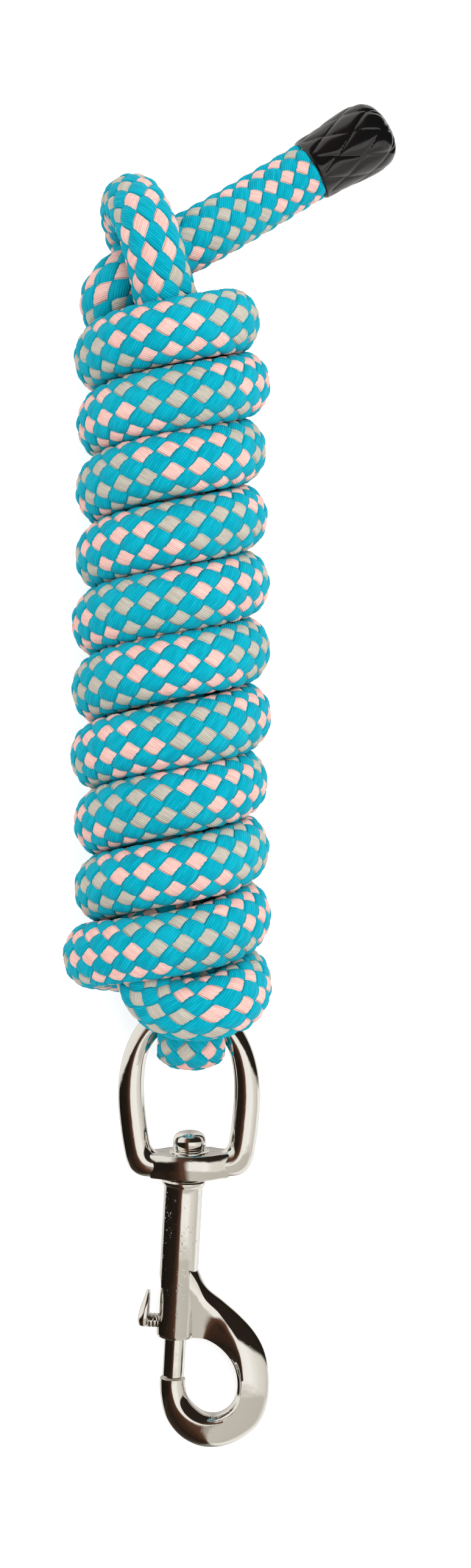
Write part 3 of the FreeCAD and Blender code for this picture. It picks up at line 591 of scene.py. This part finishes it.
def snapBarrel():
    made = turnedPiece("snapBarrel", barrelSet["profile"], barrelSet["around"], True)
    cutter = slotCutter()
    clearSelection()
    made.select_set(True)
    bpy.context.view_layer.objects.active = made
    cut = made.modifiers.new("slot", "BOOLEAN")
    cut.operation = "DIFFERENCE"
    cut.object = cutter
    cut.solver = "EXACT"
    bpy.ops.object.modifier_apply(modifier=cut.name)
    bpy.data.objects.remove(cutter)
    return made


barrel = snapBarrel()

eyeSet = {
    # Pairs round the right half of the eye from the top: outer edge, inner edge.
    "pairs": [
        ((0, -3.15), (0, 3.15)), ((7.6, -2.9), (5.0, 3.3)), ((13.4, 0.6), (8.9, 5.6)),
        ((17.4, 6.8), (11.6, 9.8)), ((19.8, 14.6), (12.8, 15.6)), ((20.55, 23.0), (13.0, 22.4)),
        ((20.0, 31.5), (12.4, 30.0)), ((19.0, 38.6), (11.6, 36.0)), ((18.1, 42.4), (10.9, 38.2)),
        ((16.4, 45.1), (9.6, 39.2)), ((13.3, 46.6), (7.6, 39.4)), ((7.0, 46.9), (4.4, 39.4)),
        ((0, 46.9), (0, 39.4)),
    ],
    "perSpan": 7, "half": 3.8, "around": 28, "power": 0.9, "sharp": 60,
    # The boss round the rivet: a quarter of its outline, then its levels as distance down the snap and size.
    "boss": [(11.4, 3.3), (9.0, 4.4), (6.6, 6.3), (2.6, 7.2)],
    "bossLevels": [(39.5, 0.94), (39.65, 0.98), (40.0, 1.0), (46.3, 1.0), (46.65, 0.98), (46.8, 0.94)],
    "bossSharp": 50, "lean": 3.5, "leanAt": 20.0,
}


def eyeSections():
    outer, inner = [smoothThrough(edge, eyeSet["perSpan"]) for edge in zip(*eyeSet["pairs"])]
    rightHalf = [(1, k) for k in range(len(outer))]
    leftHalf = [(-1, k) for k in range(len(outer) - 2, 0, -1)]
    rows = []
    for side, k in rightHalf + leftHalf:
        row = []
        for step in range(eyeSet["around"]):
            across, up = roundedBox(step / eyeSet["around"], eyeSet["power"])
            place = inner[k] + (outer[k] - inner[k]) * (0.5 - 0.5 * across)
            row.append((side * place[0], -place[1], eyeSet["half"] * up))
        rows.append(row)
    return np.array(rows)


def bossSections():
    right = eyeSet["boss"]
    outline = right + [(-x, z) for x, z in reversed(right)]
    outline += [(x, -z) for x, z in reversed(outline)]
    levels = eyeSet["bossLevels"]
    return np.array([[(x * size, -down, z * size) for x, z in outline] for down, size in levels])


eyeRing = sectionMesh("eyeRing", eyeSections(), closed=True)
boss = sectionMesh("eyeBoss", bossSections())

rivetSet = {
    # Radius and distance down the snap, from the dome's top to its dish in the boss.
    "profile": [(0.4, 33.3), (1.7, 33.4), (3.0, 33.75), (3.95, 34.3), (4.5, 35.0), (4.75, 35.9), (4.75, 38.3),
                (4.4, 38.75), (5.4, 38.95), (5.8, 39.2), (5.8, 39.7)],
    "around": 64, "sharp": 50,
}
rivetHead = turnedPiece("rivetHead", rivetSet["profile"], rivetSet["around"], True)

knobSet = {
    # The blade: distance down the snap, near face, far face and half width. Then its ribbed stem.
    "blade": [(81.2, 8.35, 8.75, 0.6), (81.8, 7.95, 9.2, 2.0), (84.0, 7.85, 9.85, 3.1),
              (87.0, 7.85, 10.75, 3.7), (89.6, 7.85, 11.2, 3.8), (91.2, 8.1, 11.0, 3.2),
              (91.9, 8.8, 10.4, 1.6)],
    "bladePerSpan": 5, "bladeAround": 28, "bladePower": 0.8,
    "stemAt": 90.2, "stemFrom": 3.3, "stemTo": 8.6, "stemRadius": 2.1, "stemAround": 32,
    "ribs": 5, "perRib": 8, "ribDepth": 0.14, "sharp": 50,
}


def bladeSections():
    rows = []
    for down, near, far, half in smoothThrough(knobSet["blade"], knobSet["bladePerSpan"]):
        row = []
        for step in range(knobSet["bladeAround"]):
            across, up = roundedBox(step / knobSet["bladeAround"], knobSet["bladePower"])
            row.append((-(near + far) / 2 - (far - near) / 2 * across, -down, half * up))
        rows.append(row)
    return np.array(rows)


def stemSections():
    count, around = knobSet["ribs"] * knobSet["perRib"], knobSet["stemAround"]
    turns = [2 * math.pi * k / around for k in range(around)]
    rows = []
    for step in range(count + 1):
        out = knobSet["stemFrom"] + (knobSet["stemTo"] - knobSet["stemFrom"]) * step / count
        groove = 0.5 - 0.5 * math.cos(2 * math.pi * step / knobSet["perRib"])
        radius = knobSet["stemRadius"] - knobSet["ribDepth"] * groove ** 2
        rows.append([(-out, -knobSet["stemAt"] + radius * math.sin(turn), radius * math.cos(turn))
                     for turn in turns])
    return np.array(rows)


knobBlade = sectionMesh("knobBlade", bladeSections())
knobStem = sectionMesh("knobStem", stemSections())

finishMetal(hook, hookSet["sharp"])
finishMetal(barrel, barrelSet["sharp"])
finishMetal(eyeRing, eyeSet["sharp"], eyeSet["lean"])
finishMetal(boss, eyeSet["bossSharp"], eyeSet["lean"])
finishMetal(rivetHead, rivetSet["sharp"], eyeSet["lean"])
finishMetal(knobBlade, knobSet["sharp"])
finishMetal(knobStem, knobSet["sharp"])
for piece, body, hidden in (
    (hook, "snap", "snap_body"), (barrel, "snap", "snap_body"), (rivetHead, "snap", "swivel_rivet"),
    (eyeRing, "swivel_eye", "swivel_eye"), (boss, "swivel_eye", "swivel_eye"),
    (knobBlade, "bolt", "thumb_knob"), (knobStem, "bolt", "thumb_knob"),
):
    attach(piece, body)
    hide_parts(hidden)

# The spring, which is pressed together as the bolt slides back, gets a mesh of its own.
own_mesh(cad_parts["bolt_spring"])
print("snap made")

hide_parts("rope_turns", "core_standing_leg", "core_return_leg", "top_bight", "rope_tail",
            "core_yarns", "eye_loop", "eye_short_end")


def newGroup(name, inputs):
    # A node group that puts out a colour, a roughness and a height.
    group = bpy.data.node_groups.new(name, "ShaderNodeTree")
    for label, value in inputs.items():
        kind = "NodeSocketColor" if isinstance(value, tuple) else "NodeSocketFloat"
        group.interface.new_socket(name=label, in_out="INPUT", socket_type=kind).default_value = value
    for label, kind in (("Colour", "Color"), ("Roughness", "Float"), ("Height", "Float")):
        group.interface.new_socket(name=label, in_out="OUTPUT", socket_type="NodeSocket" + kind)
    return group, group.nodes.new("NodeGroupInput").outputs, group.nodes.new("NodeGroupOutput").inputs


def node(tree, kind, **settings):
    made = tree.nodes.new(kind)
    for key, value in settings.items():
        setattr(made, key, value)
    return made


def feed(tree, socket, value):
    # A socket takes a number or a colour as its own, and another socket as a link.
    if isinstance(value, (int, float, tuple)):
        socket.default_value = value
    else:
        tree.links.new(value, socket)


def mathNode(tree, operation, *values):
    made = node(tree, "ShaderNodeMath", operation=operation)
    for socket, value in zip(made.inputs, values):
        feed(tree, socket, value)
    return made.outputs[0]


def mixColour(tree, share, first, second):
    made = node(tree, "ShaderNodeMix", data_type="RGBA")
    for index, value in ((0, share), (6, first), (7, second)):
        feed(tree, made.inputs[index], value)
    return made.outputs[2]


def noiseNode(tree, place, scale, detail):
    made = node(tree, "ShaderNodeTexNoise")
    for label, value in (("Vector", place), ("Scale", scale), ("Detail", detail)):
        feed(tree, made.inputs[label], value)
    return made.outputs[0]


def rangeNode(tree, value, low, high, top=1.0, kind="LINEAR"):
    # From 0 at the low value to the top at the high one.
    made = node(tree, "ShaderNodeMapRange", interpolation_type=kind)
    for label, given in (("Value", value), ("From Min", low), ("From Max", high), ("To Max", top)):
        feed(tree, made.inputs[label], given)
    return made.outputs[0]


yarnLook = {
    "wander": (260, 2), "wanderBy": 0.11, "slub": (1.6, 3), "slubAlong": 1.3, "slubApart": 3.17,
    # The gap power shapes the painted shade in the gaps between threads.
    "patch": (45, 3), "fibre": (2600, 3), "gapShadePower": 1.6,
    # Where the noise starts to show, where it is full, and how much it shows.
    "paleSlubs": (0.45, 0.8, 0.5), "darkSlubs": (0.5, 0.2, 0.45), "palePatches": (0.35, 0.75, 0.22),
    "roughness": 0.72, "fibreRoughness": 0.2, "slubHeight": 0.5, "fibreHeight": 0.5,
}


def yarnGroup():
    # Threads side by side along each strand, with painted shade in the gaps between them, slubs, loose hairs
    # and a slow change of tone.
    # The dark colour serves both the dark slubs and the painted shade in the gaps between threads; the gap
    # strength sets how strong that painted shade is.
    group, given, out = newGroup("yarn", {
        "Colour": (0.5, 0.5, 0.5, 1), "DarkToneAndGapShade": (0.2, 0.2, 0.2, 1), "Pale": (0.8, 0.8, 0.8, 1), "Threads": 11.0,
        "GapShade": 0.5})
    place = node(group, "ShaderNodeTexCoord").outputs["Object"]
    split = node(group, "ShaderNodeSeparateXYZ")
    feed(group, split.inputs[0], node(group, "ShaderNodeUVMap", uv_map="strand").outputs[0])
    wander = noiseNode(group, place, *yarnLook["wander"])
    patch = noiseNode(group, place, *yarnLook["patch"])
    fibre = noiseNode(group, place, *yarnLook["fibre"])
    bend = mathNode(group, "MULTIPLY_ADD", wander, yarnLook["wanderBy"], split.outputs[1])
    thread = mathNode(group, "MULTIPLY", bend, given["Threads"])
    wave = mathNode(group, "ABSOLUTE", mathNode(group, "SINE", mathNode(group, "MULTIPLY", thread, math.pi)))
    combine = node(group, "ShaderNodeCombineXYZ")
    feed(group, combine.inputs[0], mathNode(group, "MULTIPLY", split.outputs[0], yarnLook["slubAlong"]))
    number = mathNode(group, "FLOOR", thread)
    feed(group, combine.inputs[1], mathNode(group, "MULTIPLY", number, yarnLook["slubApart"]))
    slub = noiseNode(group, combine.outputs[0], *yarnLook["slub"])
    # Painted shade: the colour darkens towards the dark colour in the gaps between threads.
    gap = mathNode(group, "POWER", mathNode(group, "SUBTRACT", 1, wave), yarnLook["gapShadePower"])
    shade = mixColour(group, mathNode(group, "MULTIPLY", gap, given["GapShade"]), given["Colour"], given["DarkToneAndGapShade"])
    shade = mixColour(group, rangeNode(group, slub, *yarnLook["paleSlubs"]), shade, given["Pale"])
    shade = mixColour(group, rangeNode(group, slub, *yarnLook["darkSlubs"]), shade, given["DarkToneAndGapShade"])
    shade = mixColour(group, rangeNode(group, patch, *yarnLook["palePatches"]), shade, given["Pale"])
    feed(group, out["Colour"], shade)
    rough = mathNode(group, "MULTIPLY_ADD", fibre, yarnLook["fibreRoughness"], yarnLook["roughness"])
    feed(group, out["Roughness"], rough)
    raised = mathNode(group, "MULTIPLY_ADD", slub, yarnLook["slubHeight"], wave)
    feed(group, out["Height"], mathNode(group, "MULTIPLY_ADD", fibre, yarnLook["fibreHeight"], raised))
    return group


platingLook = {
    "waves": (140, 2), "waveHeight": 1.5, "specks": (480, 4), "rubbed": 0.06, "pitScale": 1100,
    "pitReach": (0.0, 0.32), "pitPlaces": (0.52, 0.62), "pitStain": 0.6, "pitRoughness": 0.25,
}


def platingGroup():
    # Bright plating over a cast surface: soft waves, small pits and fine rubbing marks.
    group, given, out = newGroup("plating", {
        "Colour": (0.7, 0.7, 0.7, 1), "Stain": (0.4, 0.36, 0.3, 1), "Roughness": 0.1, "Pits": 1.0})
    place = node(group, "ShaderNodeTexCoord").outputs["Object"]
    waves = noiseNode(group, place, *platingLook["waves"])
    specks = noiseNode(group, place, *platingLook["specks"])
    pits = node(group, "ShaderNodeTexVoronoi")
    feed(group, pits.inputs["Scale"], platingLook["pitScale"])
    feed(group, pits.inputs["Vector"], place)
    hollow = rangeNode(group, pits.outputs["Distance"], *platingLook["pitReach"])
    rare = rangeNode(group, specks, *platingLook["pitPlaces"])
    pit = mathNode(group, "MULTIPLY", mathNode(group, "SUBTRACT", 1, hollow), rare)
    pit = mathNode(group, "MULTIPLY", pit, given["Pits"])
    stain = mathNode(group, "MULTIPLY", pit, platingLook["pitStain"])
    feed(group, out["Colour"], mixColour(group, stain, given["Colour"], given["Stain"]))
    rubbed = mathNode(group, "MULTIPLY_ADD", specks, platingLook["rubbed"], given["Roughness"])
    feed(group, out["Roughness"], mathNode(group, "MULTIPLY_ADD", pit, platingLook["pitRoughness"], rubbed))
    feed(group, out["Height"], mathNode(group, "MULTIPLY_ADD", waves, platingLook["waveHeight"],
                                        mathNode(group, "MULTIPLY", pit, -1.0)))
    return group


def newMaterial(name, group, values, bump, fixed):
    # The group's values, the bump's strength and distance, and what is the same all over the surface.
    made = bpy.data.materials.new(name)
    made.use_nodes = True
    tree = made.node_tree
    shader = tree.nodes["Principled BSDF"]
    for key, value in fixed.items():
        shader.inputs[key].default_value = value
    pattern = node(tree, "ShaderNodeGroup", node_tree=group)
    for key, value in values.items():
        pattern.inputs[key].default_value = value
    relief = node(tree, "ShaderNodeBump")
    relief.inputs["Strength"].default_value = bump[0]
    relief.inputs["Distance"].default_value = bump[1]
    tree.links.new(pattern.outputs["Colour"], shader.inputs["Base Color"])
    tree.links.new(pattern.outputs["Roughness"], shader.inputs["Roughness"])
    tree.links.new(pattern.outputs["Height"], relief.inputs["Height"])
    tree.links.new(relief.outputs[0], shader.inputs["Normal"])
    return made


yarn = yarnGroup()
yarnFixed = {"Sheen Weight": 0.04, "Sheen Roughness": 0.4, "Specular IOR Level": 0.06, "Metallic": 0.0}
yarnColours = {
    # Each yarn's dark colour is its dark slub tone and also its painted shade in the gaps between threads.
    "teal": {"Colour": (0.0, 0.35, 0.465, 1), "DarkToneAndGapShade": (0.0, 0.17, 0.24, 1), "Pale": (0.01, 0.49, 0.62, 1)},
    "pink": {"Colour": (0.87, 0.50, 0.44, 1), "DarkToneAndGapShade": (0.60, 0.30, 0.25, 1), "Pale": (0.96, 0.70, 0.64, 1)},
    "grey": {"Colour": (0.5, 0.46, 0.385, 1), "DarkToneAndGapShade": (0.3, 0.275, 0.225, 1), "Pale": (0.64, 0.61, 0.53, 1)},
}
# The gap strength sets how strong the painted shade between threads is.
tealYarn, pinkYarn, greyYarn = [
    newMaterial(shade + "Yarn", yarn, {**colours, "Threads": 9.0, "GapShade": 0.45}, (0.6, 0.0003), yarnFixed)
    for shade, colours in yarnColours.items()
]

plating = platingGroup()
nickelColours = {"Colour": (0.87, 0.845, 0.80, 1), "Stain": (0.3, 0.26, 0.2, 1)}
castBump, metal = (0.3, 0.0002), {"Metallic": 1.0}
nickel, castNickel = [
    newMaterial(name, plating, {**nickelColours, "Roughness": rough, "Pits": pits}, castBump, metal)
    for name, rough, pits in (("brightNickel", 0.03, 0.15), ("castNickel", 0.04, 1.0))
]
wire = newMaterial("drawnWire", plating, {
    "Colour": (0.5, 0.5, 0.5, 1), "Stain": (0.25, 0.22, 0.2, 1), "Roughness": 0.3, "Pits": 0.3},
    (0.2, 0.0001), metal)
capPlastic = newMaterial("blackMoulding", plating, {
    "Colour": (0.004, 0.004, 0.0045, 1), "Stain": (0.02, 0.02, 0.022, 1), "Roughness": 0.12, "Pits": 0.3},
    castBump, {"Metallic": 0.0, "Coat Weight": 0.5, "Coat Roughness": 0.08, "IOR": 1.5})

for material, pieces in (
    (tealYarn, (tealOne, tealTwo, ropeFill)), (pinkYarn, (pinkStrands,)), (greyYarn, (greyStrands,)),
    (capPlastic, (endCap,)), (castNickel, (barrel,)),
    (nickel, (hook, eyeRing, boss, rivetHead, knobBlade, knobStem)),
):
    for piece in pieces:
        piece.data.materials.append(material)
for name, material in (
    ("bolt", nickel), ("bolt_spring", wire), ("crimp_ferrule", wire), ("cap_whipping", greyYarn),
    ("tail_stub", greyYarn),
):
    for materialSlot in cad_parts[name].material_slots:
        materialSlot.material = material
print("materials made")

# A plain pale floor. Mirror-bright metal reflects the studio and not the floor.
floorSet = {"size": 6, "height": -0.0002}
paper = {
    "Base Color": (0.92, 0.92, 0.92, 1), "Roughness": 0.9, "Specular IOR Level": 0.1,
    "Emission Color": (1, 1, 1, 1), "Emission Strength": 0.42,
}
clearSelection()
bpy.ops.mesh.primitive_plane_add(size=floorSet["size"], location=(0, 0, floorSet["height"]))
floor = bpy.context.object
floor.name = "paleFloor"
floorMaterial = bpy.data.materials.new("palePaper")
floorMaterial.use_nodes = True
for label, value in paper.items():
    floorMaterial.node_tree.nodes["Principled BSDF"].inputs[label].default_value = value
floor.data.materials.append(floorMaterial)
floor.visible_glossy = False

lightSet = {
    "worldStrength": 0.94,
    "key": {"place": (0.55, 0.35, 1.5), "size": 1.1, "power": 16},
    # The studio that the metal reflects, as colours round the rope's direction: light walls and dark gaps.
    "acrossRoom": [
        (0.0, (0.45, 0.43, 0.39)), (0.10, (0.75, 0.73, 0.69)), (0.125, (0.75, 0.73, 0.69)),
        (0.15, (0.010, 0.008, 0.006)), (0.40, (0.016, 0.010, 0.007)), (0.44, (0.045, 0.021, 0.013)),
        (0.475, (0.12, 0.055, 0.032)), (0.495, (0.95, 0.93, 0.89)), (0.60, (1.0, 0.98, 0.95)),
        (0.65, (0.80, 0.78, 0.72)), (0.78, (0.60, 0.58, 0.52)), (0.82, (1, 1, 1)), (0.93, (0.9, 0.88, 0.85)),
        (1.0, (0.30, 0.29, 0.26)),
    ],
    "upperRoom": [
        (0.0, (0.45, 0.43, 0.40)), (0.10, (0.9, 0.88, 0.84)), (0.38, (0.85, 0.83, 0.78)),
        (0.44, (0.11, 0.055, 0.035)), (0.50, (0.07, 0.036, 0.022)), (0.53, (0.022, 0.015, 0.011)),
        (0.86, (0.016, 0.012, 0.009)), (0.91, (0.9, 0.88, 0.84)), (1.0, (0.45, 0.43, 0.40)),
    ],
    "lowerRoom": [
        (0.0, (0.30, 0.29, 0.26)), (0.12, (0.05, 0.035, 0.025)), (0.34, (0.018, 0.012, 0.008)),
        (0.44, (0.05, 0.024, 0.014)), (0.475, (0.12, 0.056, 0.033)), (0.50, (0.60, 0.575, 0.52)),
        (0.70, (0.55, 0.53, 0.475)), (0.80, (0.95, 0.93, 0.9)), (0.93, (0.9, 0.88, 0.84)),
        (1.0, (0.30, 0.29, 0.26)),
    ],
    "upperFrom": (-0.12, -0.02), "lowerFrom": (-0.39, -0.46),
}


def roomRamp(tree, share, stops):
    ramp = node(tree, "ShaderNodeValToRGB")
    tree.links.new(share, ramp.inputs[0])
    elements = ramp.color_ramp.elements
    for index, (spot, colour) in enumerate(stops):
        element = elements[index] if index < 2 else elements.new(spot)
        element.position = spot
        element.color = (*colour, 1)
    return ramp.outputs[0]


def studioColour(tree):
    # The ramps run round the rope's direction, and change over with how far a direction looks along it.
    split = node(tree, "ShaderNodeSeparateXYZ")
    tree.links.new(node(tree, "ShaderNodeTexCoord").outputs["Generated"], split.inputs[0])
    lean = mathNode(tree, "ARCTAN2", split.outputs[0], split.outputs[2])
    share = mathNode(tree, "MULTIPLY_ADD", lean, 0.5 / math.pi, 0.5)
    colour = roomRamp(tree, share, lightSet["acrossRoom"])
    for name, where in (("upperRoom", "upperFrom"), ("lowerRoom", "lowerFrom")):
        reach = rangeNode(tree, split.outputs[1], *lightSet[where], kind="SMOOTHSTEP")
        colour = mixColour(tree, reach, colour, roomRamp(tree, share, lightSet[name]))
    return colour


world = bpy.data.worlds.new("studio")
bpy.context.scene.world = world
world.use_nodes = True
tree = world.node_tree
tree.nodes.clear()
plainLight = node(tree, "ShaderNodeBackground")
feed(tree, plainLight.inputs["Color"], (1, 1, 1, 1))
feed(tree, plainLight.inputs["Strength"], lightSet["worldStrength"])
roomLight = node(tree, "ShaderNodeBackground")
feed(tree, roomLight.inputs["Color"], studioColour(tree))
mixed = node(tree, "ShaderNodeMixShader")
feed(tree, mixed.inputs[0], node(tree, "ShaderNodeLightPath").outputs["Is Glossy Ray"])
feed(tree, mixed.inputs[1], plainLight.outputs[0])
feed(tree, mixed.inputs[2], roomLight.outputs[0])
feed(tree, node(tree, "ShaderNodeOutputWorld").inputs[0], mixed.outputs[0])

keySet = lightSet["key"]
clearSelection()
bpy.ops.object.light_add(type="AREA", location=keySet["place"])
keyLight = bpy.context.object
keyLight.name = "softKey"
keyLight.data.size = keySet["size"]
keyLight.data.energy = keySet["power"]
keyLight.rotation_euler = (-Vector(keySet["place"])).to_track_quat("-Z", "Y").to_euler()
keyLight.visible_glossy = False
bpy.context.scene.view_settings.view_transform = "Standard"
print("floor and light set")
